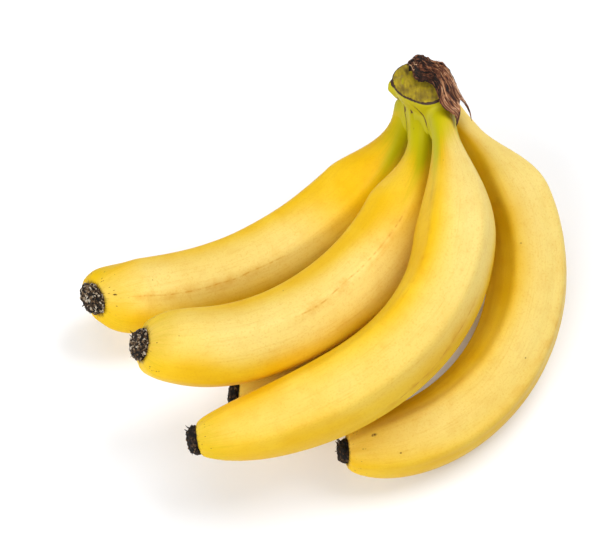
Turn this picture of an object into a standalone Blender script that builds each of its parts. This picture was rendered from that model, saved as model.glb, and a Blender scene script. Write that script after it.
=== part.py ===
"""A bunch of five bananas that lies on its three lower fingers.

Metres, +Z up. The origin is under the middle of the bunch, on the surface it lies on.
The crown is at the back right, and the fingers bend round to the left.
"""

import math

import bmesh
import bpy
import numpy
from mathutils import Matrix, Vector

MM = 0.001

# A finger's spine bends smoothly through five points, from its neck to its tip.
# girth: the radius of the belly.
# shoulder: the shares of the length where the neck starts to swell and where it is full.
# taper: the share where the tip starts to close, and bluntness how late it does so.
# ridge: the angle of one of the five ridges, in degrees round from the outer side.
# lift: how far the last of the tip turns up towards the upper side.
# tip: the radius where the blossom end sits, and turn how many degrees that end faces up.
# stub: the size of the blossom end.
FINGERS = {
    "back": {
        "spine": [(36.7, 78.5, 43), (21, 50.5, 28), (-8, 25, 19.5), (-47, 3, 18.5), (-101.6, -8.5, 27)],
        "girth": 17.4,
        "shoulder": (0.05, 0.28),
        "taper": 0.70,
        "bluntness": 7,
        "ridge": 30,
        "lift": 5,
        "tip": 7.4,
        "turn": 16,
        "stub": 1.08,
    },
    "middle": {
        "spine": [(41.2, 71, 51.5), (19.5, -2, 45.5), (-22, -37.5, 50.5), (-52.5, -46, 55), (-77, -44, 48.5)],
        "girth": 17.2,
        "shoulder": (0.08, 0.29),
        "taper": 0.70,
        "bluntness": 6,
        "ridge": 12,
        "lift": 5,
        "tip": 7.6,
        "turn": 30,
        "stub": 1.0,
    },
    "top": {
        "spine": [(49.5, 65, 59.5), (53, 19, 68.5), (46, -26.5, 66), (11, -61, 54), (-54, -79.5, 37.5)],
        "girth": 17.1,
        "shoulder": (0.07, 0.33),
        "taper": 0.68,
        "bluntness": 2,
        "ridge": 35,
        "lift": 1,
        "tip": 6.0,
        "turn": 0,
        "stub": 0.95,
    },
    "right": {
        "spine": [(52, 71, 50.5), (76, 37.5, 45.5), (86.2, -2.5, 33.4), (67.4, -47.6, 19.4), (5.5, -76, 19.2)],
        "girth": 17.0,
        "shoulder": (0.08, 0.26),
        "taper": 0.58,
        "bluntness": 4,
        "ridge": 43,
        "lift": 0,
        "tip": 6.4,
        "turn": 0,
        "stub": 0.8,
    },
    "under": {
        "spine": [(47, 76, 44), (51, 45, 20.5), (48.5, 6.5, 17), (22, -33.5, 17.5), (-39.5, -51.5, 21.5)],
        "girth": 17.0,
        "shoulder": (0.07, 0.30),
        "taper": 0.68,
        "bluntness": 4,
        "ridge": 40,
        "lift": 0,
        "tip": 6.4,
        "turn": 0,
        "stub": 0.9,
    },
}

NECK_RADIUS = 5.9
LIFT_SHARE = 0.10  # of the length, where the tip turns up
BLOSSOM_ROOM = 3.0  # the spine ends in the middle of the blossom end
COLLAR_LENGTH = 9.0  # how much of each neck belongs to the crown
GAP = 0.3  # between two pieces that touch
RIDGE_HEIGHT = 0.03  # of the belly's radius
LATE_THINNING = 0.06  # of the belly's radius, lost towards the tip
STATIONS = 36
SIDES = 24

BLOSSOM_LENGTH = 5.5
BLOSSOM_RADII = (5.5, 6.2, 6.3, 5.9, 4.8, 3.0)
BLOSSOM_SIDES = 14

CUT_CENTRE = Vector((41.0, 76.5, 63.0))
CUT_NORMAL = Vector((-0.2, 0.3, 0.93)).normalized()
CUT_HALF_LENGTH = 11.8
CUT_HALF_WIDTH = 14.2
CUT_SKEW = 0.17  # how far the cut's outline leans from an ellipse towards its corners
CUSHION_SECTIONS = ((0.0, 1.0), (-1.5, 1.05), (-6.0, 1.0), (-14.0, 0.72))
# how a neck's root rounds off behind its start: the place along the neck, and the share of its radius
ROOT_SECTIONS = ((-3.0, 0.45), (-2.3, 0.78), (-0.8, 0.97))
FUSE_VOXEL = 1.6

# The dried scale lies over the back and right of the cut: its inner and its outer
# edge, from the far left round to the two points that hang over the necks.
BRACT_INNER = (
    (36.1, 82.7, 63.8),
    (38.4, 78.1, 65.2),
    (42.1, 74.4, 67.5),
    (46.1, 71.5, 69.0),
    (47.7, 63.4, 70.5),
    (50.8, 56.6, 71),
    (54.6, 49.3, 70),
)
BRACT_OUTER = (
    (35.5, 87.6, 61),
    (40.3, 88.9, 64.5),
    (45.8, 85.5, 67),
    (51.7, 81.3, 67),
    (55.5, 74.3, 66.5),
    (58.8, 67.4, 65),
    (62.2, 58.4, 60.5),
)
BRACT_ARCH = 1.6
BRACT_THICKNESS = 1.2
BRACT_STATIONS = 24
BRACT_COLUMNS = 6


def material(name, colour, roughness):
    made = bpy.data.materials.new(name)
    made.use_nodes = True
    shader = made.node_tree.nodes["Principled BSDF"]
    shader.inputs["Base Color"].default_value = (*colour, 1.0)
    shader.inputs["Roughness"].default_value = roughness
    shader.inputs["Metallic"].default_value = 0.0
    return made


def curve_through(points, count, cut=0):
    """Evenly spaced points on the smooth curve through a few points, less a cut at its end."""
    shares = numpy.linspace(0, 1, len(points))
    terms = numpy.polyfit(shares, numpy.array(points, float), len(points) - 1)
    fine = numpy.polyval(terms, numpy.linspace(0, 1, 400)[:, None])
    along = numpy.concatenate([[0], numpy.cumsum(numpy.linalg.norm(numpy.diff(fine, axis=0), axis=1))])
    length = along[-1] - cut
    even = numpy.linspace(0, length, count)
    return [Vector([numpy.interp(s, along, fine[:, axis]) for axis in range(3)]) for s in even], length


def frames_along(points, lift, turn):
    """At each point: the way along, the way up out of the bend, and the way to its outer side."""
    middle = points[len(points) // 2]
    bend = (points[-1] - middle).cross(middle - points[0]).normalized()
    late = [max(i / (len(points) - 1) - 1 + LIFT_SHARE, 0) / LIFT_SHARE for i in range(len(points))]
    points = [point + bend * lift * share**2 for point, share in zip(points, late)]
    frames = []
    for i, point in enumerate(points):
        along = (points[min(i + 1, len(points) - 1)] - points[max(i - 1, 0)]).normalized()
        outer = bend.cross(along).normalized()
        along = Matrix.Rotation(-math.radians(turn) * late[i], 3, outer) @ along
        frames.append((point, along, along.cross(outer), outer))
    return frames


def finger_radius(share, finger):
    start, full = finger["shoulder"]
    rise = min(max((share - start) / (full - start), 0), 1)
    swell = rise * rise * (3 - 2 * rise)
    radius = NECK_RADIUS + (finger["girth"] - NECK_RADIUS) * swell
    radius *= 1 - LATE_THINNING * max((share - 0.4) / 0.6, 0) ** 2
    close = max((share - finger["taper"]) / (1 - finger["taper"]), 0)
    end = finger["tip"] / finger["girth"]
    return radius * (end + (1 - end) * math.sqrt(max(1 - close ** finger["bluntness"], 0)))


def loft(name, rings, look):
    """A closed, smooth-shaded solid through rings of points."""
    mesh = bmesh.new()
    loops = []
    for ring in rings:
        verts = [mesh.verts.new(point * MM) for point in ring]
        loops.append([mesh.edges.new((verts[i - 1], verts[i])) for i in range(len(verts))])
    for first, second in zip(loops, loops[1:]):
        bmesh.ops.bridge_loops(mesh, edges=first + second)
    for loop in (loops[0], loops[-1]):
        bmesh.ops.edgeloop_fill(mesh, edges=loop)
    bmesh.ops.recalc_face_normals(mesh, faces=mesh.faces)
    return finish(name, mesh, look)


def finish(name, mesh, look):
    data = bpy.data.meshes.new(name)
    mesh.to_mesh(data)
    mesh.free()
    data.shade_smooth()
    data.set_sharp_from_angle(angle=math.radians(50))
    data.materials.append(look)
    made = bpy.data.objects.new(name, data)
    bpy.context.scene.collection.objects.link(made)
    return made


def ring_round(frame, radius_at, sides):
    point, _, up, outer = frame
    turns = [2 * math.pi * i / sides for i in range(sides)]
    return [point + (outer * math.cos(a) + up * math.sin(a)) * radius_at(a) for a in turns]


def finger_ring(frame, share, finger):
    radius = finger_radius(share, finger)
    height = RIDGE_HEIGHT * min(radius / finger["girth"], 1) ** 2
    ridge = math.radians(finger["ridge"])
    return ring_round(frame, lambda a: radius * (1 + height * math.cos(5 * (a - ridge))), SIDES)


def build_finger(name, finger, skin, crust):
    points, length = curve_through(finger["spine"], 4 * STATIONS + 1, BLOSSOM_ROOM)
    frames = frames_along(points, finger["lift"], finger["turn"])
    last = len(frames) - 1
    first = math.ceil(last * COLLAR_LENGTH / length)
    # Closer rings where the neck swells and where the tip closes.
    spread = numpy.linspace(0, 1, STATIONS)
    shares = spread - 0.09 * numpy.sin(2 * math.pi * spread)
    picks = sorted({first + round(share * (last - first)) for share in shares})
    loft(f"finger_{name}", [finger_ring(frames[i], i / last, finger) for i in picks], skin)
    build_blossom_end(f"blossom_end_{name}", frames[last], finger["stub"], crust)
    return frames[:first]


def build_blossom_end(name, frame, size, look):
    """The dried stub of the flower, lumpy and blunt."""
    point, along, up, outer = frame
    step = BLOSSOM_LENGTH * size / (len(BLOSSOM_RADII) - 1)
    rings = []
    for i, radius in enumerate(BLOSSOM_RADII):
        centre = point + along * (GAP + i * step)
        lumps = 0.05 * i / len(BLOSSOM_RADII)
        rings.append(
            ring_round(
                (centre, along, up, outer),
                lambda a: size * radius * (1 + lumps * math.cos(3 * a + i) + lumps * math.cos(7 * a)),
                BLOSSOM_SIDES,
            )
        )
    loft(name, rings, look)


def build_crown(necks, skin):
    """The cushion left where the hand was cut from its stalk, with the root of each neck."""
    long_way = Vector((1, 0, 0)) - CUT_NORMAL * CUT_NORMAL.x
    long_way.normalize()
    wide_way = CUT_NORMAL.cross(long_way)
    heart = sum((frames[0][0] for frames in necks), Vector()) / len(necks)
    mesh = bmesh.new()
    rings = []
    for depth, size in CUSHION_SECTIONS:
        share = depth / CUSHION_SECTIONS[-1][0]
        centre = CUT_CENTRE.lerp(heart, share)
        rings.append(
            [
                centre
                + (long_way * math.cos(a) * CUT_HALF_LENGTH + wide_way * math.sin(a) * CUT_HALF_WIDTH)
                * (size * (1 - CUT_SKEW * math.sin(2 * a)))
                for a in (2 * math.pi * i / SIDES for i in range(SIDES))
            ]
        )
    cushion = loft("crown", rings, skin)
    mesh.from_mesh(cushion.data)
    for frames in necks:
        point, along, up, outer = frames[0]
        rings = [
            ring_round((point + along * back, along, up, outer), lambda a: NECK_RADIUS * size, SIDES)
            for back, size in ROOT_SECTIONS
        ]
        rings += [ring_round(frame, lambda a: NECK_RADIUS, SIDES) for frame in frames]
        stub = loft("stub", rings, skin)
        mesh.from_mesh(stub.data)
        bpy.data.objects.remove(stub)
    mesh.to_mesh(cushion.data)
    mesh.free()
    fuse = cushion.modifiers.new("fuse", "REMESH")
    fuse.mode = "VOXEL"
    fuse.voxel_size = FUSE_VOXEL * MM
    fuse.use_smooth_shade = True
    soften = cushion.modifiers.new("soften", "SMOOTH")
    soften.factor = 0.5
    soften.iterations = 3
    return cushion


def build_bract(look):
    inner, _ = curve_through(BRACT_INNER, BRACT_STATIONS)
    outer, _ = curve_through(BRACT_OUTER, BRACT_STATIONS)
    mesh = bmesh.new()
    rows = []
    for near, far in zip(inner, outer):
        row = []
        for i in range(BRACT_COLUMNS):
            share = i / (BRACT_COLUMNS - 1)
            arch = Vector((0, 0, BRACT_ARCH * math.sin(math.pi * share)))
            row.append(mesh.verts.new((near.lerp(far, share) + arch) * MM))
        rows.append(row)
    for first, second in zip(rows, rows[1:]):
        for i in range(BRACT_COLUMNS - 1):
            mesh.faces.new((first[i], first[i + 1], second[i + 1], second[i]))
    bmesh.ops.recalc_face_normals(mesh, faces=mesh.faces)
    bract = finish("bract", mesh, look)
    wall = bract.modifiers.new("wall", "SOLIDIFY")
    wall.thickness = BRACT_THICKNESS * MM
    wall.offset = 0


def main():
    for old in list(bpy.data.objects):
        bpy.data.objects.remove(old)
    yellow = material("ripe peel", (0.92, 0.62, 0.10), 0.45)
    green = material("crown skin", (0.55, 0.47, 0.05), 0.5)
    crust = material("dried blossom", (0.12, 0.09, 0.06), 0.9)
    brown = material("dried scale", (0.22, 0.11, 0.06), 0.85)
    necks = [build_finger(name, finger, yellow, crust) for name, finger in FINGERS.items()]
    build_crown(necks, green)
    build_bract(brown)


main()
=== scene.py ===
import math
import random

import bmesh
import bpy
import numpy
from mathutils import Matrix, Vector, noise


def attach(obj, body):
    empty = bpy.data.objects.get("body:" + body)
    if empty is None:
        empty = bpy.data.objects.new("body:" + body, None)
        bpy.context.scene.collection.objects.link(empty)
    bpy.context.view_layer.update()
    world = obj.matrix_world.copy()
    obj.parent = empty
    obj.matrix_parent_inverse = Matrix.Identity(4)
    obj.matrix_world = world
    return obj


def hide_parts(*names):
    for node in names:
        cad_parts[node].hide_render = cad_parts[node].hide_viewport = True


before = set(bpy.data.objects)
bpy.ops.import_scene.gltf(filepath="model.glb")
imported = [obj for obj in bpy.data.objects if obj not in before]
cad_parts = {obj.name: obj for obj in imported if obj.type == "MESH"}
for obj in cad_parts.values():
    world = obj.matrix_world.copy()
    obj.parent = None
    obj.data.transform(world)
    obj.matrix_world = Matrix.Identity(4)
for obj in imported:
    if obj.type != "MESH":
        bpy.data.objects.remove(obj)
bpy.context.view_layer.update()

mm = 0.001
fullTurn = 2 * math.pi


def linear(hexColour):
    parts = [int(hexColour[i:i + 2], 16) / 255 for i in (1, 3, 5)]
    return (*[p / 12.92 if p <= 0.04045 else ((p + 0.055) / 1.055) ** 2.4 for p in parts], 1)


def addNode(tree, kind, settings=None, links=None):
    made = tree.nodes.new("ShaderNode" + kind)
    for name, value in (settings or {}).items():
        if name == "stops":  # a colour ramp's stops: place and colour
            while len(made.color_ramp.elements) < len(value):
                made.color_ramp.elements.new(1)
            for stop, (place, shade) in zip(made.color_ramp.elements, value):
                stop.position, stop.color = place, linear(shade)
        elif isinstance(name, int) or name in made.inputs:
            made.inputs[name].default_value = value
        else:
            setattr(made, name, value)
    for name, source in (links or {}).items():
        tree.links.new(source, made.inputs[name])
    return made


def rangeOf(tree, value, low, high, first=0.0, last=1.0, kind="LINEAR"):
    # first where the value is low or less, last where it's high or more
    ends = {"From Min": low, "From Max": high, "To Min": first, "To Max": last}
    settings = {"interpolation_type": kind, **ends}
    return addNode(tree, "MapRange", settings, {"Value": value}).outputs[0]


def maths(tree, operation, *terms):
    # each term is another node's output or a plain number
    made = addNode(tree, "Math", {"operation": operation})
    for socket, term in zip(made.inputs, terms):
        if isinstance(term, (int, float)):
            socket.default_value = term
        else:
            tree.links.new(term, socket)
    return made.outputs[0]


def noiseOf(tree, place, size, detail=2.0, roughness=0.5):
    # size in millimetres
    settings = {"Scale": 1000 / size, "Detail": detail, "Roughness": roughness}
    return addNode(tree, "TexNoise", settings, {"Vector": place}).outputs["Fac"]


def tint(tree, colour, share, shade):
    # the colour, turning to the shade where share is 1
    return addNode(tree, "Mix", {"data_type": "RGBA", 7: linear(shade)}, {0: share, 6: colour}).outputs[2]


def average(tree, share, first, second):
    # a weighted average: share is the second one's weight
    return addNode(tree, "Mix", {"data_type": "FLOAT", 0: share}, {2: first, 3: second}).outputs[0]


def attribute(tree, name, output="Fac"):
    return addNode(tree, "Attribute", {"attribute_name": name}).outputs[output]


def newMaterial(name):
    made = bpy.data.materials.new(name)
    made.use_nodes = True
    return made, made.node_tree, made.node_tree.nodes["Principled BSDF"]


def finishLook(tree, shader, values, colour, height):
    # what all the looks share: the colour, the relief, the roughness and the gloss
    bump = addNode(
        tree, "Bump", {"Strength": values["relief"], "Distance": values["reliefHeight"] * mm},
        {"Height": height},
    )
    tree.links.new(colour, shader.inputs["Base Color"])
    tree.links.new(bump.outputs[0], shader.inputs["Normal"])
    shader.inputs["Roughness"].default_value = values["roughness"]
    shader.inputs["Specular IOR Level"].default_value = values["gloss"]


def ease(low, high, value):
    share = min(max((value - low) / (high - low), 0), 1)
    return share * share * (3 - 2 * share)


def curveThrough(points, count, cut=0):
    # evenly spaced points on the smooth curve through a few points, less a cut at its end
    shares = numpy.linspace(0, 1, len(points))
    terms = numpy.polyfit(shares, numpy.array(points, float), len(points) - 1)
    fine = numpy.polyval(terms, numpy.linspace(0, 1, 400)[:, None])
    along = numpy.concatenate([[0], numpy.cumsum(numpy.linalg.norm(numpy.diff(fine, axis=0), axis=1))])
    length = along[-1] - cut
    even = numpy.linspace(0, length, count)
    return [Vector([numpy.interp(s, along, fine[:, axis]) for axis in range(3)]) for s in even], length


def wrapGrid(rows, sides, place):
    # a flat grid is rolled into a closed skin: place gives each vertex its point and its attributes
    mesh = bmesh.new()
    bmesh.ops.create_grid(mesh, x_segments=sides, y_segments=rows, size=0.5)
    kinds = mesh.verts.layers
    layers = {
        name: (kinds.float_vector if isinstance(value, Vector) else kinds.float).new(name)
        for name, value in place(0, 0)[1].items()
    }
    for vert in mesh.verts:
        column = round((vert.co.x + 0.5) * sides) % sides
        point, values = place(round((vert.co.y + 0.5) * rows), column)
        vert.co = point * mm
        for name, value in values.items():
            vert[layers[name]] = value
    bmesh.ops.remove_doubles(mesh, verts=mesh.verts, dist=1e-7)
    bmesh.ops.recalc_face_normals(mesh, faces=mesh.faces)
    return mesh


def addPiece(name, mesh, look, node):
    data = bpy.data.meshes.new(name)
    mesh.to_mesh(data)
    mesh.free()
    data.shade_smooth()
    data.materials.append(look)
    piece = bpy.data.objects.new(name, data)
    bpy.context.scene.collection.objects.link(piece)
    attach(piece, "root")
    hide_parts(node)


# Millimetres, on the same design numbers as the solids.
fingerShape = {
    "neckRadius": 5.9,
    "liftShare": 0.14,  # of the length, where the tip turns up
    "blossomRoom": 3.0,  # the spine ends in the middle of the dried stub
    "collarLength": 9.0,  # how much of each neck belongs to the crown
    "buried": 0.25,  # the share of that where the peel starts, inside the crown
    "thinFrom": 0.4, "lateThinning": 0.06,
    "inset": 0.16,  # the skin stays this far inside the solids' corners
    "waves": ((5, 1), (10, 0.35), (15, 0.12)), "waveLevel": 0.45,  # sharp ridges: how many, how strong
    "uneven": 0.22, "sunk": 0.12, "unevenAround": 0.9, "unevenAlong": 7, "unevenApart": 20,
    "pleat": 0.22, "pleats": 10, "pleatFrom": 0.94, "ovalFrom": 0.88,
    "rim": ((0.0, 0.93), (-0.5, 0.8), (-0.9, 0.5), (-1.0, 0)),  # it rolls in round the dried stub
    "crowding": 0.06,  # stations lie closer at both ends
    "lampWay": Vector((0.5, 0, 0.87)).normalized(),  # the side facing the lamps above gets a painted pale sheen
    "stations": 230,
    "sides": 128,
}

# what the skin's patterns need: ranges are shares of a finger's length unless noted
skinMarks = {
    "between": 400,  # millimetres from one finger's place in the patterns to the next
    "veinFade": 0.05, "veinFar": 0.02,  # metres from the nearest vein where there's none
    "scarEdge": (0.4, 1.2),  # shares of the scar's own size
    "greenFrom": 0.05, "greenTo": 0.15, "greenSideTo": 0.09, "greenAround": 0.35,
    "tipGreen": (0.88, 0.985), "veinGreen": (0.12, 0.45), "veinGreenWidth": 4, "greenPart": 0.5,
    "sheenFacing": (0.35, 1.1),  # how far up a place faces, from no painted pale sheen to full
    "paleTip": (0.8, 1), "paleTipLoss": 0.5,
    # dry: the brown edge round the stub, partly painted shade where the skin rolls in under the crust
    "tipNear": (0.95, 1), "dry": (0.996, 1.002),
}

# turn: degrees the end turns by, ridge: degrees of the first ridge, girth and tip: radii
# oval: degrees of the dried end's long way, its reach there and across it; char: how dark its crust is
# veins: degrees from the first ridge where each starts and ends, the shares where, and how dark it is
# scars: the share and degrees of each, half its length and half its width, and how dark it is
fingers = {
    "back": {
        "spine": [(36.7, 78.5, 43), (21, 50.5, 28), (-8, 25, 19.5),
                  (-47, 3, 18.5), (-101.6, -8.5, 27)],
        "girth": 17.4, "shoulder": (0.05, 0.28), "taper": 0.70, "bluntness": 7,
        "ridge": 30, "ridgeHeight": 0.03, "lift": 5, "turn": 16, "tip": 7.4, "stub": 1.08,
        "oval": (45, 1.1, 0.72), "char": 0,
        "veins": [(66, 69, 0.5, 0.97, 0.6), (-2, 3, 0.3, 0.8, 0.4), (216, 214, 0.2, 0.7, 0.5)],
        "scars": [(0.985, 78, 0.9, 0.9, 1.0), (0.968, 69, 4.5, 0.7, 0.4)],
        "neckGreen": 0.95, "greenSide": 60, "tipGreen": 0.55, "paleFrom": (0.25, 0.5),
    },
    "middle": {
        "spine": [(41.2, 71, 51.5), (19.5, -2, 45.5), (-22, -37.5, 50.5),
                  (-52.5, -46, 55), (-77, -44, 48.5)],
        "girth": 17.2, "shoulder": (0.08, 0.29), "taper": 0.70, "bluntness": 6,
        "ridge": 12, "ridgeHeight": 0.03, "lift": 5, "turn": 30, "tip": 7.6, "stub": 1.0,
        "oval": (15, 1.02, 0.92), "char": 0,
        "veins": [(77, 67, 0.29, 0.7, 0.65), (2, -3, 0.3, 0.6, 0.3), (216, 218, 0.2, 0.8, 0.5)],
        "scars": [(0.93, 75, 0.8, 0.8, 0.6), (0.5, 200, 2.5, 1.2, 0.7)],
        "neckGreen": 1.05, "greenSide": 90, "tipGreen": 0.6, "paleFrom": (0.2, 0.5),
    },
    "top": {
        "spine": [(49.5, 65, 59.5), (53, 19, 68.5), (46, -26.5, 66),
                  (11, -61, 54), (-54, -79.5, 37.5)],
        "girth": 17.1, "shoulder": (0.07, 0.33), "taper": 0.68, "bluntness": 2,
        "ridge": 35, "ridgeHeight": 0.03, "lift": 1, "turn": 0, "tip": 6.0, "stub": 0.95,
        "oval": (0, 1, 0.9), "char": 0.8,
        "veins": [(86, 68, 0.18, 0.55, 0.3), (-24, -50, 0.42, 0.67, 0.9), (216, 210, 0.3, 0.7, 0.5)],
        "scars": [(0.45, 190, 3.0, 1.0, 0.7)],
        "neckGreen": 0.95, "greenSide": 150, "tipGreen": 0.75, "paleFrom": (0.02, 0.15),
    },
    "right": {
        "spine": [(52, 71, 50.5), (76, 37.5, 45.5), (86.2, -2.5, 33.4),
                  (67.4, -47.6, 19.4), (5.5, -76, 19.2)],
        "girth": 17.0, "shoulder": (0.08, 0.26), "taper": 0.58, "bluntness": 4,
        "ridge": 43, "ridgeHeight": 0.05, "lift": 0, "turn": 0, "tip": 6.4, "stub": 0.8,
        "oval": (0, 1, 0.95), "char": 0.8,
        "veins": [(-5, 3, 0.3, 0.7, 0.3), (150, 142, 0.3, 0.6, 0.3), (216, 218, 0.3, 0.7, 0.5)],
        "scars": [(0.257, 82, 1.1, 0.6, 0.6), (0.95, 65, 1.8, 0.9, 0.9), (0.6, -30, 1.5, 1.0, 0.6)],
        "neckGreen": 0.12, "greenSide": 180, "tipGreen": 0.3, "paleFrom": (0, 0.05),
    },
    "under": {
        "spine": [(47, 76, 44), (51, 45, 20.5), (48.5, 6.5, 17),
                  (22, -33.5, 17.5), (-39.5, -51.5, 21.5)],
        "girth": 17.0, "shoulder": (0.07, 0.30), "taper": 0.68, "bluntness": 4,
        "ridge": 40, "ridgeHeight": 0.03, "lift": 0, "turn": 0, "tip": 6.4, "stub": 0.9,
        "oval": (0, 1, 0.95), "char": 0.8,
        "veins": [(72, 70, 0.2, 0.7, 0.6), (216, 216, 0.2, 0.7, 0.5)],
        "scars": [(0.4, 240, 2.0, 1.0, 0.6)],
        "neckGreen": 0.9, "greenSide": 90, "tipGreen": 0.3, "paleFrom": (0.2, 0.5),
    },
}


def framesAlong(points, finger):
    # each frame: the point, the way along, and the two ways across; the tip lifts and turns a little
    middle = points[len(points) // 2]
    bend = (points[-1] - middle).cross(middle - points[0]).normalized()
    liftShare = fingerShape["liftShare"]
    late = [max(i / (len(points) - 1) - 1 + liftShare, 0) / liftShare for i in range(len(points))]
    points = [point + bend * finger["lift"] * share**2 for point, share in zip(points, late)]
    frames = []
    for i, point in enumerate(points):
        along = (points[min(i + 1, len(points) - 1)] - points[max(i - 1, 0)]).normalized()
        outer = bend.cross(along).normalized()
        along = Matrix.Rotation(-math.radians(finger["turn"]) * ease(0, 1, late[i]), 3, outer) @ along
        frames.append((point, along, along.cross(outer), outer))
    return frames


def fingerRadius(share, finger):
    start, full = finger["shoulder"]
    neck = fingerShape["neckRadius"]
    radius = neck + (finger["girth"] - neck) * ease(start, full, share)
    late = max((share - fingerShape["thinFrom"]) / (1 - fingerShape["thinFrom"]), 0)
    radius *= 1 - fingerShape["lateThinning"] * late**2
    close = max((share - finger["taper"]) / (1 - finger["taper"]), 0)
    end = finger["tip"] / finger["girth"]
    return radius * (end + (1 - end) * math.sqrt(max(1 - close ** finger["bluntness"], 0)))


def ovalness(angle, finger):
    # how far the dried stub and the skin next to it reach at this angle, against a round one
    longWay, reach, narrow = finger["oval"]
    off = angle - math.radians(longWay)
    return 1 / math.hypot(math.cos(off) / reach, math.sin(off) / narrow)


def skinRadius(share, angle, finger, order):
    # five ridges, sharper than a plain wave, and the slow unevenness of a grown thing
    shape = fingerShape
    radius = fingerRadius(share, finger)
    ridge = angle - math.radians(finger["ridge"])
    height = finger["ridgeHeight"] * min(radius / finger["girth"], 1) ** 2
    wave = sum(strength * math.cos(times * ridge) for times, strength in shape["waves"])
    wave -= shape["waveLevel"]
    around = shape["unevenAround"]
    spot = Vector((
        math.cos(angle) * around, math.sin(angle) * around,
        share * shape["unevenAlong"] + shape["unevenApart"] * order,
    ))
    uneven = shape["uneven"] * noise.noise(spot) - shape["sunk"]
    pleats = shape["pleat"] * ease(shape["pleatFrom"], 1, share) * math.cos(shape["pleats"] * ridge + 1)
    oval = 1 + (ovalness(angle, finger) - 1) * ease(shape["ovalFrom"], 1, share)
    return (radius * (1 + height * wave) - shape["inset"] + uneven + pleats) * oval


def fingerValues(share, angle, finger, order, length, facing=0):
    # what the skin's pattern needs to know at one place; facing says how far it looks up, which sets the
    # painted pale sheen
    girth = finger["girth"]
    around = angle - math.radians(finger["ridge"])
    along = share * length + skinMarks["between"] * order
    place = Vector((girth * math.cos(around), girth * math.sin(around), along)) * mm
    degrees = math.degrees(around)
    vein, veinAway, fade = 0, skinMarks["veinFar"], skinMarks["veinFade"]
    for start, end, first, last, strength in finger["veins"]:
        centre = start + (end - start) * min(max((share - first) / (last - first), 0), 1)
        off = math.radians((degrees - centre + 180) % 360 - 180) * girth * mm
        if abs(off) < abs(veinAway):
            veinAway = off
            vein = strength * ease(first, first + fade, share) * (1 - ease(last - fade, last, share))
    scar = 0
    for at, centre, halfLength, halfWidth, strength in finger["scars"]:
        off = math.radians((degrees - centre + 180) % 360 - 180) * girth
        far = math.hypot((share - at) * length / halfLength, off / halfWidth)
        scar = max(scar, strength * (1 - ease(*skinMarks["scarEdge"], far)))
    side = 0.5 + 0.5 * math.cos(angle - math.radians(finger["greenSide"]))
    greenEnd = skinMarks["greenTo"] + skinMarks["greenSideTo"] * side
    least = skinMarks["greenAround"]
    green = finger["neckGreen"] * (1 - ease(skinMarks["greenFrom"], greenEnd, share))
    green *= least + (1 - least) * side
    green += skinMarks["greenPart"] * finger["tipGreen"] * ease(*skinMarks["tipGreen"], share)
    nearVein = math.exp(-(veinAway / (skinMarks["veinGreenWidth"] * mm)) ** 2)
    nearVein *= 1 - ease(*skinMarks["veinGreen"], share)
    green += skinMarks["greenPart"] * finger["neckGreen"] * nearVein
    # painted sheen: paler where the skin faces up toward the lamps, weighted by the belly's own paler tone
    # along the finger
    pale = ease(*skinMarks["sheenFacing"], facing) * ease(*finger["paleFrom"], share)
    return {
        "peelPlace": place,
        "vein": vein,
        "veinAway": veinAway,
        "scar": scar,
        "green": green,
        "pale": pale * (1 - skinMarks["paleTipLoss"] * ease(*skinMarks["paleTip"], share)),
        "tipNear": ease(*skinMarks["tipNear"], share),
        "dry": ease(*skinMarks["dry"], share),
    }


def buildFinger(name, order, look):
    finger = fingers[name]
    rows, sides = fingerShape["stations"], fingerShape["sides"]
    points, length = curveThrough(finger["spine"], 4 * rows + 1, fingerShape["blossomRoom"])
    frames = framesAlong(points, finger)
    last = len(frames) - 1
    first = fingerShape["buried"] * fingerShape["collarLength"] / length
    tip = fingerRadius(1, finger)
    rimRows = fingerShape["rim"]

    def place(row, column):
        angle = fullTurn * column / sides
        step = (row - 1) / (rows - len(rimRows) - 1)
        crowded = step - fingerShape["crowding"] * math.sin(fullTurn * step)
        share = first + (1 - first) * min(max(crowded, 0), 1)
        point, along, up, outer = frames[round(share * last)]
        radius = skinRadius(share, angle, finger, order)
        if row == 0:
            radius = 0
        if step > 1:
            back, part = rimRows[row - (rows - len(rimRows)) - 1]
            point = point + along * back
            radius = part * tip * ovalness(angle, finger)
        around = outer * math.cos(angle) + up * math.sin(angle)
        facing = around.dot(fingerShape["lampWay"])
        return point + around * radius, fingerValues(share, angle, finger, order, length, facing)

    mesh = wrapGrid(rows, sides, place)
    addPiece("peel" + name.capitalize(), mesh, look, "finger_" + name)
    return frames, length


peelLook = {
    "yellow": "#DFAF05", "lightYellow": "#E5BB17", "paleSheenYellow": "#E5CD78", "orange": "#CC8C0E",
    "green": "#B6AD00", "vein": "#C68518", "freckle": "#6B4414", "dry": "#5A3B16",
    "roughness": 0.48, "shinier": 0.07, "duller": 0.1, "gloss": 0.15, "bending": 1.45,
    "letIn": 0.08, "letInColour": (1.0, 0.55, 0.12), "letInDepth": 3,
    "relief": 0.35, "reliefHeight": 0.06, "poreRelief": 0.5,
    # sizes in millimetres
    "driftSize": 26, "cloudSize": 6, "fibreWidth": 0.9, "fibreStretch": 0.05, "poreSize": 0.8,
    "freckleSpacing": 8, "speckSpacing": 1.9, "dashLength": 3.2,
    "veinWidth": 0.45, "bandWidth": 4, "wander": 3, "wanderLength": 30,
    # where each pattern starts and is full, and how strong it then is
    "drift": (0.35, 0.65), "paleRange": (-0.1, 1.1), "greenRange": (0.08, 0.95), "unevenEdge": 0.5,
    "clouds": (0.5, 0.8, 0.22), "fibres": (0.52, 0.8, 0.25), "pores": (0.52, 0.75, 0.28),
    "veinCore": 0.4, "band": 0.35, "smudges": (0.38, 0.62, 1.8), "dashes": (0.4, 0.65, 0.12, 0.85),
    "dryRange": (0.15, 0.45),
    # a dot's radius against the spacing, and how rare it is
    "freckles": (0.055, 0.80), "specks": (0.17, 1.02),
    "dotCore": 0.4, "dotEdge": 1.5, "dotStrength": 0.85, "moreAtTip": 0.5,
}


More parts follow.
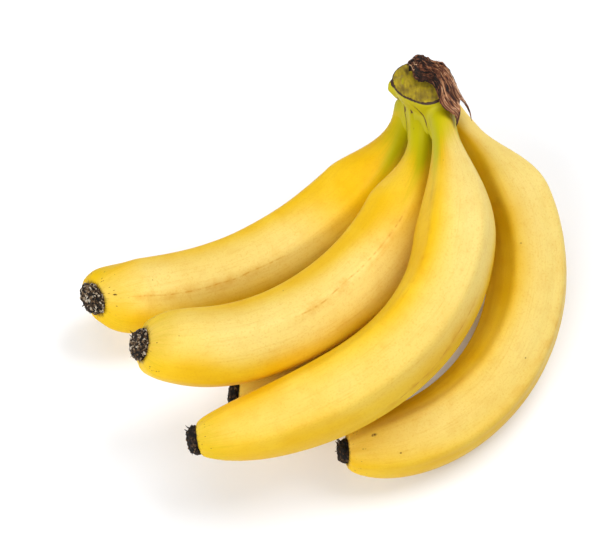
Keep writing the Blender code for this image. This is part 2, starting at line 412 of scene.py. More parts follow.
def peelLayers(tree, look):
    # the colour, roughness and relief of the skin, from the values written on the mesh
    place = attribute(tree, "peelPlace", "Vector")
    pale, vein, veinAway, scar, green, tipNear, dry = [
        attribute(tree, name) for name in ("pale", "vein", "veinAway", "scar", "green", "tipNear", "dry")
    ]
    stretched = addNode(tree, "Mapping", {"Scale": (1, 1, look["fibreStretch"])}, {"Vector": place})
    drift = noiseOf(tree, place, look["driftSize"], 3.0)
    cloud = noiseOf(tree, place, look["cloudSize"], 4.0)
    fibre = noiseOf(tree, stretched.outputs[0], look["fibreWidth"], 3.0, 0.6)
    pores = noiseOf(tree, place, look["poreSize"])
    edge = look["unevenEdge"]

    driftShare = rangeOf(tree, drift, *look["drift"])
    colour = addNode(
        tree, "Mix", {"data_type": "RGBA", 6: linear(look["yellow"]), 7: linear(look["lightYellow"])},
        {0: driftShare},
    ).outputs[2]
    # painted sheen: the pale yellow goes where the skin faces up, broken a little by the slow drift
    sheenSum = maths(tree, "ADD", pale, maths(tree, "MULTIPLY_ADD", drift, edge, -edge / 2))
    sheenShare = rangeOf(tree, sheenSum, *look["paleRange"], kind="SMOOTHSTEP")
    colour = tint(tree, colour, sheenShare, look["paleSheenYellow"])
    # orange clouds, fibres and pores over it
    for level, name in ((cloud, "clouds"), (fibre, "fibres"), (pores, "pores")):
        low, high, most = look[name]
        colour = tint(tree, colour, rangeOf(tree, level, low, high, 0.0, most), look["orange"])

    # green that lasts longest at the neck, in lengthwise streaks
    greenSum = maths(tree, "ADD", green, maths(tree, "MULTIPLY_ADD", fibre, edge, -edge / 2))
    greenShare = rangeOf(tree, greenSum, *look["greenRange"], kind="SMOOTHSTEP")
    colour = tint(tree, colour, greenShare, look["green"])

    # a broken brown line along a ridge, wandering a little to either side
    axes = addNode(tree, "SeparateXYZ", {}, {0: place})
    wander, dashes = [
        addNode(
            tree, "TexNoise", {"noise_dimensions": "1D", "Scale": 1000 / look[name], "Detail": 2.0},
            {"W": axes.outputs["Z"]},
        ).outputs["Fac"]
        for name in ("wanderLength", "dashLength")
    ]
    wandered = maths(tree, "MULTIPLY_ADD", wander, look["wander"] * mm, veinAway)
    away = maths(tree, "ABSOLUTE", maths(tree, "SUBTRACT", wandered, look["wander"] / 2 * mm))
    width = look["veinWidth"] * mm
    line = rangeOf(tree, away, look["veinCore"] * width, width, 1.0, 0.0, "SMOOTHSTEP")
    band = rangeOf(tree, away, 0.0, look["bandWidth"] * mm, look["band"], 0.0, "SMOOTHSTEP")
    dashed = maths(tree, "MULTIPLY", line, rangeOf(tree, dashes, *look["dashes"]))
    low, high, most = look["smudges"]
    smudged = maths(tree, "MULTIPLY", band, rangeOf(tree, cloud, low, high, 0.0, most))
    colour = tint(tree, colour, maths(tree, "MULTIPLY", smudged, vein), look["orange"])
    colour = tint(tree, colour, maths(tree, "MULTIPLY", dashed, vein), look["vein"])

    # freckles here and there, and fine specks crowding round the tip
    for spacing, name in (("freckleSpacing", "freckles"), ("speckSpacing", "specks")):
        radius, rare = look[name]
        cells = addNode(tree, "TexVoronoi", {"Scale": 1000 / look[spacing]}, {"Vector": place})
        dot = rangeOf(
            tree, cells.outputs["Distance"], look["dotCore"] * radius, look["dotEdge"] * radius,
            look["dotStrength"], 0.0, "SMOOTHSTEP",
        )
        rand = addNode(tree, "SeparateColor", {}, {0: cells.outputs["Color"]}).outputs[0]
        luck = maths(tree, "MULTIPLY_ADD", tipNear, look["moreAtTip"], rand)
        shown = maths(tree, "MULTIPLY", dot, maths(tree, "GREATER_THAN", luck, rare))
        colour = tint(tree, colour, shown, look["freckle"])

    # old scars, and the dry brown edge round the stub, which is partly painted shade where the skin rolls in
    # under the crust
    for amount in (scar, dry):
        share = rangeOf(tree, maths(tree, "MULTIPLY", amount, pores), *look["dryRange"])
        colour = tint(tree, colour, share, look["dry"])

    least, most = look["roughness"] - look["shinier"], look["roughness"] + look["duller"]
    roughness = rangeOf(tree, cloud, 0.0, 1.0, least, most)
    return colour, roughness, maths(tree, "MULTIPLY_ADD", pores, look["poreRelief"], fibre)


def ripePeel():
    # Ripe banana peel: a thin waxy skin over long fibres, satin, with a little light let in.
    look, tree, shader = newMaterial("ripeBananaPeel")
    colour, roughness, relief = peelLayers(tree, peelLook)
    finishLook(tree, shader, peelLook, colour, relief)
    tree.links.new(roughness, shader.inputs["Roughness"])
    shader.inputs["IOR"].default_value = peelLook["bending"]
    shader.inputs["Subsurface Weight"].default_value = peelLook["letIn"]
    shader.inputs["Subsurface Radius"].default_value = peelLook["letInColour"]
    shader.inputs["Subsurface Scale"].default_value = peelLook["letInDepth"] * mm
    return look


blossomShape = {
    # depth past the finger's end and radius, from the buried middle out over the rim and into the pit
    "profile": ((-1.2, 5.0), (0.0, 6.0), (1.0, 6.3), (2.2, 6.2), (3.4, 5.7), (4.3, 4.6), (4.8, 3.0),
                (4.5, 1.4), (4.4, 0)),
    "widest": 6.3, "rows": 44, "sides": 72, "sunk": 0.35,
    "lumpSize": 2.1, "lumpHeight": 1.05, "lumpLevel": 0.9, "lumpDepth": 1.6,
    "grainSize": 0.8, "grainHeight": 0.3, "endPush": 0.9, "crumbStretch": 1.2, "crumbsApart": 50,
    "hooks": 13, "hookLength": 2.2, "hookRadius": 0.5, "hookSides": 6, "hookRows": 9,
    "hookTaper": 0.85, "hookBend": 0.6, "hookPit": 0.2,
    # where each loose hook stands, which way it points and curls, its size and its tone
    "hookOut": (3.5, 5.9), "hookUp": (1.5, 3.6), "hookLean": (0.2, 1), "hookRise": (0.3, 0.9),
    "hookCurl": 0.6, "hookDroop": 0.4, "hookSize": (0.5, 1), "hookTone": (-9, 9),
}


def curledHook(start, way, curl, size, values):
    # a tapering strand that bends over towards curl
    length, radius = blossomShape["hookLength"] * size, blossomShape["hookRadius"] * size
    sides, rows = blossomShape["hookSides"], blossomShape["hookRows"]
    taper, bend = blossomShape["hookTaper"], blossomShape["hookBend"]

    def place(row, column):
        share = min(max(row - 1, 0) / (rows - 2), 1)
        centre = start + way * length * share + curl * length * bend * share * share
        thick = radius * (1 - taper * share) * (row not in (0, rows))
        ahead = (way + curl * (2 * bend) * share).normalized()
        side = ahead.orthogonal().normalized()
        angle = fullTurn * column / sides
        return centre + (side * math.cos(angle) + ahead.cross(side) * math.sin(angle)) * thick, values

    return wrapGrid(rows, sides, place)


def joinInto(mesh, other):
    data = bpy.data.meshes.new("strand")
    other.to_mesh(data)
    other.free()
    mesh.from_mesh(data)
    bpy.data.meshes.remove(data)


def buildBlossom(name, order, tipFrame, look):
    shape = blossomShape
    point, along, up, outer = tipFrame
    stub, char = fingers[name]["stub"], fingers[name]["char"]
    depths, radii = zip(*shape["profile"])
    places = numpy.linspace(0, 1, len(depths))

    def place(row, column):
        share = row / shape["rows"]
        angle = fullTurn * column / shape["sides"]
        depth = numpy.interp(share, places, depths) * stub
        radius = numpy.interp(share, places, radii) * stub * (row > 0) * ovalness(angle, fingers[name])
        around = outer * math.cos(angle) + up * math.sin(angle)
        spot = point + along * depth + around * radius
        deep = depth * shape["crumbStretch"] + shape["crumbsApart"] * order
        crumb = Vector((math.cos(angle) * radius, math.sin(angle) * radius, deep))
        lump = noise.voronoi(crumb / shape["lumpSize"])[0]
        grain = noise.noise(crumb / shape["grainSize"])
        rise = shape["lumpHeight"] * (shape["lumpLevel"] - shape["lumpDepth"] * lump[0])
        rise = (rise + shape["grainHeight"] * grain) * ease(0, 0.2, share)
        push = around * radius / shape["widest"] + along * ease(0.4, 0.9, share) * shape["endPush"]
        values = {"crumbPlace": crumb * mm, "pit": lump[0] + char}
        return spot + push * rise - along * shape["sunk"], values

    mesh = wrapGrid(shape["rows"], shape["sides"], place)
    luck = random.Random(40 + order)
    for _ in range(shape["hooks"]):
        angle = luck.uniform(0, fullTurn)
        reach = luck.uniform(*shape["hookOut"]) * stub * ovalness(angle, fingers[name])
        around = outer * math.cos(angle) + up * math.sin(angle)
        start = point + around * reach + along * luck.uniform(*shape["hookUp"])
        way = around * luck.uniform(*shape["hookLean"]) + along * luck.uniform(*shape["hookRise"])
        anyWay = Vector([luck.uniform(-1, 1) for _ in range(3)])
        curl = anyWay * shape["hookCurl"] - along * shape["hookDroop"]
        size = luck.uniform(*shape["hookSize"])
        tone = Vector([luck.uniform(*shape["hookTone"]) for _ in range(3)]) * mm
        values = {"crumbPlace": tone, "pit": shape["hookPit"] + char}
        joinInto(mesh, curledHook(start, way.normalized(), curl, size, values))
    addPiece("blossom" + name.capitalize(), mesh, look, "blossom_end_" + name)


blossomLook = {
    "stops": ((0.0, "#0E0B09"), (0.22, "#2A1F16"), (0.42, "#574028"), (0.58, "#7F6B52"), (0.75, "#B8B0A0"),
              (1.0, "#E9E6DE")),
    "crumbSize": 0.9, "grainSize": 0.3, "grainShare": 0.55, "spread": (0.28, 0.74),
    "darkPits": -0.38, "level": -0.04,
    "relief": 0.8, "reliefHeight": 0.3, "roughness": 0.85, "gloss": 0.25,
}


def driedBlossom():
    # Dried flower remains: papery and corky crumbs, black to pale grey, with no gloss.
    look, tree, shader = newMaterial("driedBlossomCrust")
    place, pit = attribute(tree, "crumbPlace", "Vector"), attribute(tree, "pit")
    crumbs = addNode(tree, "TexVoronoi", {"Scale": 1000 / blossomLook["crumbSize"]}, {"Vector": place})
    grain = noiseOf(tree, place, blossomLook["grainSize"], 4.0, 0.7)
    parts = addNode(tree, "SeparateColor", {}, {0: crumbs.outputs["Color"]})
    mixed = average(tree, blossomLook["grainShare"], parts.outputs[0], grain)
    spread = rangeOf(tree, mixed, *blossomLook["spread"])
    sunk = maths(tree, "MULTIPLY_ADD", pit, blossomLook["darkPits"], spread)
    level = maths(tree, "ADD", sunk, blossomLook["level"])
    colour = addNode(tree, "ValToRGB", {"stops": blossomLook["stops"]}, {0: level})
    finishLook(tree, shader, blossomLook, colour.outputs[0], mixed)
    return look


crownShape = {
    "cutCentre": Vector((41.0, 76.5, 63.0)),
    "cutNormal": Vector((-0.2, 0.3, 0.93)).normalized(),
    "halfLength": 11.8, "halfWidth": 14.0, "sides": 64,
    "skew": 0.17, "wavy": 0.015,  # two corners of the cut reach further out, and its edge waves a little
    # depth under the cut and size of each ring, from the cut's middle to the bottom of the cushion
    "rings": ((-0.9, 0), (-0.8, 0.3), (-0.6, 0.6), (-0.35, 0.85), (0.0, 0.95), (0.05, 1.0), (-0.5, 1.03),
              (-1.5, 1.05), (-3.5, 1.04), (-6.0, 1.0), (-9.5, 0.88), (-14.0, 0.7), (-15.0, 0)),
    "level": -1,  # the rings above this lie along the cut's own axis
    # the torn root of a finger that was cut away
    "earTip": Vector((27.2, 78.4, 57)), "earRoot": Vector((32.6, 77.4, 56.6)),
    "earTipRadius": 2.0, "earRadius": 5.6, "earSides": 24,
    # against the finger's own neck each root starts wider and ends narrower
    "rootWider": 0.6, "rootNarrower": 0.78, "rootReach": 17, "rootRows": 24, "rootSides": 32,
    "rootBack": 3,  # how far behind the neck it starts
    "roundEnd": 0.22,  # the share of a root over which its start rounds off
    # the flesh that still joins two necks: how far down, and its radius at the top and at the end
    "webs": [("back", "middle", 17, 6.6, 1.2), ("middle", "top", 17, 5.6, 1.2),
             ("top", "right", 12, 4.6, 1.2)],
    "fuseVoxel": 0.7, "softenTimes": 5,
    "softBelow": -4, "softTimes": 14,  # the flesh lower than this is smoothed this often again
    "neckShare": 0.16,  # how much of a finger can colour the crown
}

# where the cut, its rim and the seams show: depths and gaps in millimetres, sizes against the cut's own
crownMarks = {
    "cutFacing": (0.55, 0.85), "cutDepth": (-2.5, -1.4), "cutSize": (0.98, 1.04),
    "cutLength": 13, "cutWidth": 12,
    "grains": ((0.25, 1.3), (0.15, 0.6)),  # height and size
    "rimDepth": (-1.3, -0.4), "rimInner": (0.95, 0.985), "rimOuter": (1.05, 1.09),
    # seams: dark brown along the creases between necks, partly the joint's own colour and partly painted
    # shade in the crease
    "seams": {("back", "middle"): 1.0, ("middle", "top"): 0.85, ("right", "top"): 0.6},
    "otherSeams": 0.3, "seamGap": (0.2, 1.3), "seamDepth": (-1.5, -6), "seamEnd": (0.12, 0.02),
    "seamSunk": 0.5,
    # old brown nicks in the skin under the cut: where each starts and ends
    "nicks": [(Vector((31.4, 72.4, 56)), Vector((34.6, 71.5, 48.5))),
              (Vector((36.9, 66.5, 55.2)), Vector((37, 60, 53.4)))],
    "nickEdge": (0.4, 1.2),
    "green": 0.9, "greenEnd": (0.05, 0.02),
    "colourBlend": 5,
}


def cutOutline(angle):
    return 1 - crownShape["skew"] * math.sin(2 * angle) + crownShape["wavy"] * math.cos(5 * angle + 0.4)


def fuseParts(mesh):
    # overlapping solids become one evenly meshed and slightly softened skin
    data = bpy.data.meshes.new("crownParts")
    mesh.to_mesh(data)
    mesh.free()
    rough = bpy.data.objects.new("crownParts", data)
    bpy.context.scene.collection.objects.link(rough)
    fuse = rough.modifiers.new("fuse", "REMESH")
    fuse.mode = "VOXEL"
    fuse.voxel_size = crownShape["fuseVoxel"] * mm
    soften = rough.modifiers.new("soften", "SMOOTH")
    soften.factor = 0.5
    soften.iterations = crownShape["softenTimes"]
    graph = bpy.context.evaluated_depsgraph_get()
    fused = bmesh.new()
    fused.from_mesh(bpy.data.meshes.new_from_object(rough.evaluated_get(graph)))
    bpy.data.objects.remove(rough)
    return fused


def buildCrown(necks, look):
    shape, marks = crownShape, crownMarks
    normal, centre = shape["cutNormal"], shape["cutCentre"]
    longWay = (Vector((1, 0, 0)) - normal * normal.x).normalized()
    wideWay = normal.cross(longWay)
    heart = sum((frames[0][0] for frames, _ in necks.values()), Vector()) / len(necks)
    deepest = shape["rings"][-2][0]

    def place(row, column):
        depth, size = shape["rings"][row]
        angle = fullTurn * column / shape["sides"]
        middle = centre.lerp(heart, min(max(depth / deepest, 0), 1))
        if depth > shape["level"]:
            middle = centre + normal * depth
        reach = size * cutOutline(angle)
        point = middle + longWay * math.cos(angle) * shape["halfLength"] * reach
        return point + wideWay * math.sin(angle) * shape["halfWidth"] * reach, {}

    mesh = wrapGrid(len(shape["rings"]) - 1, shape["sides"], place)
    neckRadius, rows, sides = fingerShape["neckRadius"], shape["rootRows"], shape["rootSides"]
    wider, narrower = neckRadius + shape["rootWider"], neckRadius - shape["rootNarrower"]
    roots = [(name, name, shape["rootReach"], wider, narrower) for name in necks]
    for first, second, reach, thick, thin in roots + shape["webs"]:
        frames, length = necks[first]
        others = necks[second][0]
        count = round(reach / length * (len(frames) - 1))

        def neckPlace(row, column):
            share = min(max(row - 1, 0) / (rows - 2), 1)
            point, along, up, outer = frames[round(share * count)]
            point = (point + others[round(share * count)][0]) / 2
            angle = fullTurn * column / sides
            radius = thick + (thin - thick) * share
            radius *= math.sqrt(1 - (1 - min(share / shape["roundEnd"], 1)) ** 2) * (row not in (0, rows))
            around = outer * math.cos(angle) + up * math.sin(angle)
            return point + around * radius - along * shape["rootBack"] * (1 - share), {}

        joinInto(mesh, wrapGrid(rows, sides, neckPlace))
    ear = bmesh.new()
    tip, root = shape["earTip"], shape["earRoot"]
    turned = (tip - root).to_track_quat("Z", "Y").to_matrix().to_4x4()
    bmesh.ops.create_cone(
        ear, cap_ends=True, segments=shape["earSides"], depth=(tip - root).length * mm,
        radius1=shape["earRadius"] * mm, radius2=shape["earTipRadius"] * mm,
        matrix=Matrix.Translation((tip + root) / 2 * mm) @ turned,
    )
    joinInto(mesh, ear)
    mesh = fuseParts(mesh)
    low = [vert for vert in mesh.verts if (vert.co / mm - centre).dot(normal) < shape["softBelow"]]
    for _ in range(shape["softTimes"]):
        bmesh.ops.smooth_vert(mesh, verts=low, factor=0.5, use_axis_x=True, use_axis_y=True, use_axis_z=True)
    mesh.normal_update()

    # each vertex finds the two necks nearest to it, and how near the cut it lies
    names = list(necks)
    lines = {}
    for name, (frames, _) in necks.items():
        count = round(shape["neckShare"] * (len(frames) - 1))
        lines[name] = numpy.array([frames[i][0] for i in range(count)])

    def neckValues(point, name, nearest, facing):
        frames, length = necks[name]
        base, _, up, outer = frames[nearest]
        away = point - base
        angle = math.atan2(away.dot(up), away.dot(outer))
        share = nearest / (len(frames) - 1)
        values = fingerValues(share, angle, fingers[name], names.index(name), length, facing)
        least = marks["green"] * fingers[name]["neckGreen"] * ease(*marks["greenEnd"], share)
        return share, values, max(values["green"], least)

    kinds = mesh.verts.layers
    peelPlace = kinds.float_vector.new("peelPlace")
    cutPlace = kinds.float_vector.new("cutPlace")
    floats = {
        key: kinds.float.new(key)
        for key in ("pale", "vein", "veinAway", "scar", "green", "tipNear", "dry", "cut", "rim", "seam")
    }
    for vert in mesh.verts:
        point = vert.co / mm
        found = []
        for name, line in lines.items():
            gaps = numpy.linalg.norm(line - numpy.array(point), axis=1)
            nearest = int(gaps.argmin())
            found.append((float(gaps[nearest]), name, nearest))
        (gap, name, nearest), (otherGap, otherName, otherNearest) = sorted(found)[:2]
        # how far this crown skin faces the lamps, for the painted pale sheen
        lampFacing = vert.normal.dot(fingerShape["lampWay"])
        share, values, green = neckValues(point, name, nearest, lampFacing)
        otherGreen = neckValues(point, otherName, otherNearest, 0)[2]
        mixIn = 0.5 * (1 - ease(0, marks["colourBlend"], otherGap - gap))
        depth = (point - centre).dot(normal)
        across = (point - centre).dot(longWay) / shape["halfLength"]
        wide = (point - centre).dot(wideWay) / shape["halfWidth"]
        size = math.hypot(across, wide) / cutOutline(math.atan2(wide, across))
        cut = ease(*marks["cutFacing"], vert.normal.dot(normal)) * ease(*marks["cutDepth"], depth)
        rim = ease(*marks["rimDepth"], depth) * ease(*marks["rimInner"], size)
        seam = marks["seams"].get(tuple(sorted((name, otherName))), marks["otherSeams"])
        seam *= (1 - ease(*marks["seamGap"], otherGap - gap)) * ease(*marks["seamDepth"], depth)
        nick = 0
        for start, end in marks["nicks"]:
            step = min(max((point - start).dot(end - start) / (end - start).length_squared, 0), 1)
            nick = max(nick, 1 - ease(*marks["nickEdge"], (point - start.lerp(end, step)).length))
        vert[peelPlace] = values["peelPlace"]
        vert[cutPlace] = Vector((across * marks["cutLength"], wide * marks["cutWidth"], depth)) * mm
        vert[floats["green"]] = green + (otherGreen - green) * mixIn
        vert[floats["pale"]] = values["pale"]
        vert[floats["cut"]] = cut * (1 - ease(*marks["cutSize"], size))
        vert[floats["rim"]] = rim * (1 - ease(*marks["rimOuter"], size))
        vert[floats["seam"]] = max(seam * ease(*marks["seamEnd"], share), nick)
    for vert in mesh.verts:
        along = vert[cutPlace] / mm
        grain = sum(height * noise.noise(along / size) for height, size in marks["grains"])
        vert.co += vert.normal * mm * grain * vert[floats["cut"]]
        vert.co -= vert.normal * mm * marks["seamSunk"] * vert[floats["seam"]]
    addPiece("crownSkin", mesh, look, "crown")


crownLook = {
    "cutStops": ((0.0, "#5B4716"), (0.35, "#857016"), (0.6, "#A28C15"), (0.8, "#B9A01F"), (1.0, "#C2AE4A")),
    "rim": "#3B2417", "seam": "#5A3A14", "stainRange": (0.75, 1.2),
    "grainSize": 1.6, "grainStretch": 0.35, "blotchSize": 6, "blotchShare": 0.5, "spread": (0.3, 0.7),
    "relief": 0.4, "reliefHeight": 0.15, "roughness": 0.6, "gloss": 0.35,
}


def crownSkin():
    # Green peel that runs up to the cut, and the cut itself: fresh-cut fibre gone olive, with a dried rim.
    look, tree, shader = newMaterial("greenCrownSkin")
    colour, _, relief = peelLayers(tree, peelLook)
    place = attribute(tree, "cutPlace", "Vector")
    stretched = addNode(tree, "Mapping", {"Scale": (1, crownLook["grainStretch"], 1)}, {"Vector": place})
    grain = noiseOf(tree, stretched.outputs[0], crownLook["grainSize"], 4.0)
    blotch = noiseOf(tree, place, crownLook["blotchSize"])
    spread = rangeOf(tree, average(tree, crownLook["blotchShare"], grain, blotch), *crownLook["spread"])
    cutColour = addNode(tree, "ValToRGB", {"stops": crownLook["cutStops"]}, {0: spread})
    colour = addNode(
        tree, "Mix", {"data_type": "RGBA"}, {0: attribute(tree, "cut"), 6: colour, 7: cutColour.outputs[0]}
    ).outputs[2]
    # the dried rim, and the seams, which are darkened partly as painted shade in the creases between necks
    for name in ("rim", "seam"):
        broken = maths(tree, "ADD", attribute(tree, name), blotch)
        share = rangeOf(tree, broken, *crownLook["stainRange"], kind="SMOOTHSTEP")
        colour = tint(tree, colour, share, crownLook[name])
    finishLook(tree, shader, crownLook, colour, relief)
    return look


scaleShape = {
    "inner": ((36.1, 82.7, 63.8), (38.4, 78.1, 65.2), (42.1, 74.4, 67.5), (46.1, 71.5, 69),
              (47.7, 63.4, 70.5), (50.8, 56.6, 71), (54.6, 49.3, 70)),
    "outer": ((35.5, 87.4, 60.6), (41.8, 88.2, 66.8), (46.2, 85.2, 67), (51.7, 81.3, 67),
              (55.5, 74.3, 66.5), (58.8, 67.4, 65), (62.2, 58.4, 60.5)),
    # how far along each part of the width runs: two points with a notch between them
    "ends": ((0, 1.0), (0.1, 0.975), (0.25, 0.92), (0.45, 0.87), (0.6, 0.82), (0.75, 0.79), (0.86, 0.81),
             (0.93, 0.9), (1, 1.0)),
    "rows": 150, "columns": 60, "wall": 0.5,
    "arch": 1.6, "innerDip": 1.6, "outerDip": 0.8, "upperPart": (0.4, 0.62),
    # height, and how many waves across and along
    "tears": (0.9, 2, 45), "folds": (1.1, 5, 3), "fibres": (0.3, 26, 7), "crumples": (1.3, 3.5, 11),
    # its size in the fibre pattern, and how far apart the two sides lie there
    "sheetWidth": 14, "sheetLength": 45, "sheetGap": 3,
    # darker toward the upper end, and near the inner edge as painted shade where the scale overhangs the cut
    "palePart": (0.3, 0.75), "innerShadeAcross": (0, 0.25),
    "fibreAcross": (0.02, 0.98), "fibreRows": 14, "fibreSides": 5, "fibreLift": 0.25,
    "fibreEnds": 0.08, "palerFibres": (0.35, 0.75),
    # loose fibres, and the short ones that curl up: the range of each measure, how many flick their ends up
    "strands": {
        "count": 90, "first": (0.0, 0.85), "length": (0.15, 0.45), "drift": (-0.12, 0.12),
        "thick": (0.12, 0.3), "flick": (0, 1.4), "flicked": 0.4, "paler": 0,
    },
    "curls": {
        "count": 36, "first": (0.0, 0.4), "length": (0.06, 0.15), "drift": (-0.3, 0.3),
        "thick": (0.2, 0.42), "flick": (1, 2.6), "flicked": None, "paler": 0.7,
    },
}
scaleEdges = [curveThrough(scaleShape[edge], 200)[0] for edge in ("inner", "outer")]
upwards = Vector((0, 0, 1))


def scalePlace(share, across):
    # a point on the scale: share runs along it and across from its inner to its outer edge
    shape = scaleShape
    inner, outer = scaleEdges
    reach = share * numpy.interp(across, *zip(*shape["ends"]))
    spot = reach * (len(inner) - 1)
    i = min(int(spot), len(inner) - 2)
    near = inner[i].lerp(inner[i + 1], spot - i)
    far = outer[i].lerp(outer[i + 1], spot - i)
    height, wide, long = shape["tears"]
    tear = height * noise.noise(Vector((share * long, across * wide, 5)))
    width = (far - near).length
    edge = across + tear / max(width, 3) * (abs(2 * across - 1) ** 3) * (1 - ease(0.85, 1, share))
    point = near.lerp(far, edge)
    upper = 1 - ease(*shape["upperPart"], reach)
    lift = shape["arch"] * math.sin(math.pi * across)
    for name, seed in (("folds", 1), ("fibres", 3)):
        height, wide, long = shape[name]
        lift += height * noise.noise(Vector((across * wide, reach * long, seed)))
    height, wide, long = shape["crumples"]
    crumple = noise.fractal(Vector((across * wide, reach * long, 7)), 0.6, 2.1, 3)
    lift += height * upper * crumple
    dip = shape["innerDip"] * (1 - ease(0, 0.3, across)) * upper
    lift -= dip + shape["outerDip"] * ease(0.75, 1, across)
    return point + upwards * lift


def looseFibre(luck, kind):
    # a thin strand that lies on the scale and follows it
    shape = scaleShape
    rows, sides = shape["fibreRows"], shape["fibreSides"]
    across = luck.uniform(*shape["fibreAcross"])
    first = luck.uniform(*kind["first"])
    last = min(first + luck.uniform(*kind["length"]), 1)
    drift = luck.uniform(*kind["drift"])
    thick = luck.uniform(*kind["thick"])
    flick = luck.uniform(*kind["flick"])
    if kind["flicked"]:
        flick *= luck.random() < kind["flicked"]
    tone = Vector((luck.uniform(0, 30), luck.uniform(0, 300), luck.uniform(2, 20))) * mm

    def place(row, column):
        step = min(max(row - 1, 0) / (rows - 2), 1)
        share = first + (last - first) * step
        side = min(max(across + drift * step, 0), 1)
        spot = scalePlace(share, side)
        ahead = scalePlace(min(share + 0.02, 1), side) - spot
        ahead = ahead.normalized() if ahead.length > 1e-6 else Vector((0, -1, 0))
        cross = ahead.cross(upwards).normalized()
        lift = upwards * (shape["fibreLift"] + flick * max(2 * abs(step - 0.5) - 0.5, 0) ** 2 * 4)
        angle = fullTurn * column / sides
        thin = shape["fibreEnds"]
        radius = thick * math.sin(math.pi * (thin + (1 - 2 * thin) * step)) * (row not in (0, rows))
        around = cross * math.cos(angle) + upwards * math.sin(angle)
        pale = ease(*shape["palerFibres"], share) + kind["paler"]
        return spot + lift + around * radius, {"leafPlace": tone, "pale": pale}

    return wrapGrid(rows, sides, place)


def buildScale(look):
    shape = scaleShape
    rows, sides = shape["rows"], 2 * shape["columns"]

    def place(row, column):
        share, turn = row / rows, fullTurn * column / sides
        across = 0.5 - 0.5 * math.cos(turn)
        point = scalePlace(share, across)
        nearShare = share - 0.01 if share > 0.5 else share + 0.01
        nearAcross = across + (0.02 if across < 0.5 else -0.02)
        way = (scalePlace(nearShare, across) - point).cross(scalePlace(share, nearAcross) - point)
        way = way.normalized() * (1 if way.z > 0 else -1) if way.length > 1e-9 else upwards
        side = math.sin(turn)
        thick = shape["wall"] / 2 * math.copysign(min(3 * abs(side), 1), side) * min(row, rows - row, 2) / 2
        return point + way * thick, {
            "leafPlace": Vector((
                across * shape["sheetWidth"], share * shape["sheetLength"], shape["sheetGap"] * (side < 0),
            )) * mm,
            "pale": ease(*shape["palePart"], share) * ease(*shape["innerShadeAcross"], across),
        }

    mesh = wrapGrid(rows, sides, place)
    luck = random.Random(7)
    for name in ("strands", "curls"):
        for _ in range(shape[name]["count"]):
            joinInto(mesh, looseFibre(luck, shape[name]))
    addPiece("driedScale", mesh, look, "bract")


scaleLook = {
    "stops": ((0.0, "#130A06"), (0.24, "#34190F"), (0.42, "#623722"), (0.6, "#8E5838"), (0.8, "#BD8A62"),
              (1.0, "#E2BE9C")),
    "fibreWidth": 0.55, "fibreStretch": 0.09, "patchSize": 5, "patchShare": 0.45, "spread": (0.4, 0.6),
    "paler": 0.34, "level": -0.34,
    "relief": 0.7, "reliefHeight": 0.25, "roughness": 0.75, "gloss": 0.3,
}


def driedScale():
    # A bract dried to paper: brown, with coarse fibres along it and dark patches, dull.
    look, tree, shader = newMaterial("driedBractPaper")
    place = attribute(tree, "leafPlace", "Vector")
    stretched = addNode(tree, "Mapping", {"Scale": (1, scaleLook["fibreStretch"], 1)}, {"Vector": place})
    fibre = noiseOf(tree, stretched.outputs[0], scaleLook["fibreWidth"], 4.0, 0.65)
    patch = noiseOf(tree, place, scaleLook["patchSize"], 3.0)
    spread = rangeOf(tree, average(tree, scaleLook["patchShare"], fibre, patch), *scaleLook["spread"])
    # darker where pale is low: the upper end, and the inner edge as painted shade where it overhangs the cut
    level = maths(tree, "MULTIPLY_ADD", attribute(tree, "pale"), scaleLook["paler"], scaleLook["level"])
    shifted = maths(tree, "ADD", level, spread)
    colour = addNode(tree, "ValToRGB", {"stops": scaleLook["stops"]}, {0: shifted})
    finishLook(tree, shader, scaleLook, colour.outputs[0], fibre)
    return look


stageLook = {
    "floor": "#F8FAFE", "floorSize": 3.0, "roughness": 0.9, "gloss": 0.1,
    "daylight": 0.22,
    # metres: place, size, and then power
    "lamps": {
        "softBoxAbove": (Vector((0.42, 0.28, 0.8)), 0.7, 6.4),
        "softBoxTop": (Vector((-0.15, 0.2, 1.1)), 0.6, 1.6),
        "softBoxFront": (Vector((-0.4, -0.75, 0.7)), 0.8, 7.2),
        "softBoxLeft": (Vector((-0.8, -0.2, 0.5)), 0.7, 2.6),
    },
}
viewpoint = {
    "target": Vector((-8.19, -0.44, 30)) * mm, "height": 62.35,  # degrees
    "distance": 0.8, "across": 0.2601,  # metres
    "sensor": 36,
}


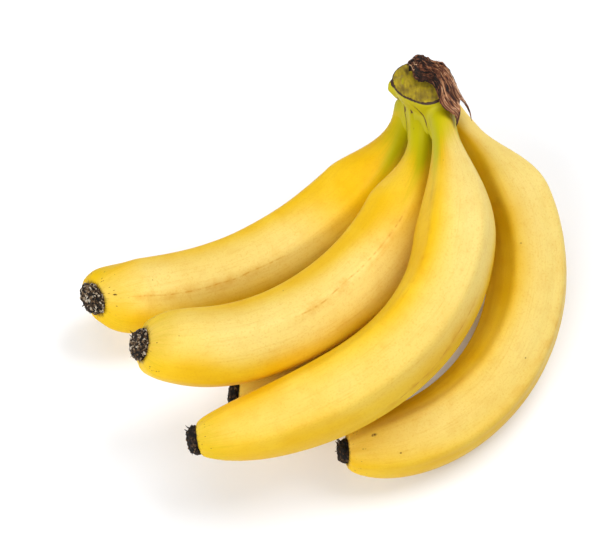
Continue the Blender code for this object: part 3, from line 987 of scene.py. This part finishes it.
def buildStage():
    mesh = bmesh.new()
    bmesh.ops.create_grid(mesh, x_segments=4, y_segments=4, size=stageLook["floorSize"] / 2)
    data = bpy.data.meshes.new("floor")
    mesh.to_mesh(data)
    mesh.free()
    floor = bpy.data.objects.new("floor", data)
    bpy.context.scene.collection.objects.link(floor)
    look, _, shader = newMaterial("paleFloor")
    shader.inputs["Base Color"].default_value = linear(stageLook["floor"])
    shader.inputs["Roughness"].default_value = stageLook["roughness"]
    shader.inputs["Specular IOR Level"].default_value = stageLook["gloss"]
    data.materials.append(look)

    world = bpy.data.worlds.new("studio")
    world.use_nodes = True
    world.node_tree.nodes["Background"].inputs["Color"].default_value = (1, 1, 1, 1)
    world.node_tree.nodes["Background"].inputs["Strength"].default_value = stageLook["daylight"]
    bpy.context.scene.world = world
    bpy.context.scene.view_settings.view_transform = "Standard"

    for name, (spot, size, power) in stageLook["lamps"].items():
        lamp = bpy.data.lights.new(name, "AREA")
        lamp.shape = "DISK"
        lamp.size = size
        lamp.energy = power
        light = bpy.data.objects.new(name, lamp)
        light.location = spot
        light.rotation_euler = (viewpoint["target"] - spot).to_track_quat("-Z", "Y").to_euler()
        bpy.context.scene.collection.objects.link(light)


def placeCamera():
    height = math.radians(viewpoint["height"])
    ahead = Vector((0, math.cos(height), -math.sin(height)))
    lens = bpy.data.cameras.new("camera")
    lens.sensor_width = viewpoint["sensor"]
    lens.lens = viewpoint["sensor"] * viewpoint["distance"] / viewpoint["across"]
    camera = bpy.data.objects.new("camera", lens)
    camera.location = viewpoint["target"] - ahead * viewpoint["distance"]
    camera.rotation_euler = (math.pi / 2 - height, 0, 0)
    bpy.context.scene.collection.objects.link(camera)
    bpy.context.scene.camera = camera


peel = ripePeel()
crust = driedBlossom()
necks = {}
for order, name in enumerate(fingers):
    frames, length = buildFinger(name, order, peel)
    buildBlossom(name, order, frames[-1], crust)
    necks[name] = (frames, length)
print("fingers and dried ends built")
buildCrown(necks, crownSkin())
print("crown built")
buildScale(driedScale())
print("dried scale built")
buildStage()
placeCamera()
print("stage and camera set")
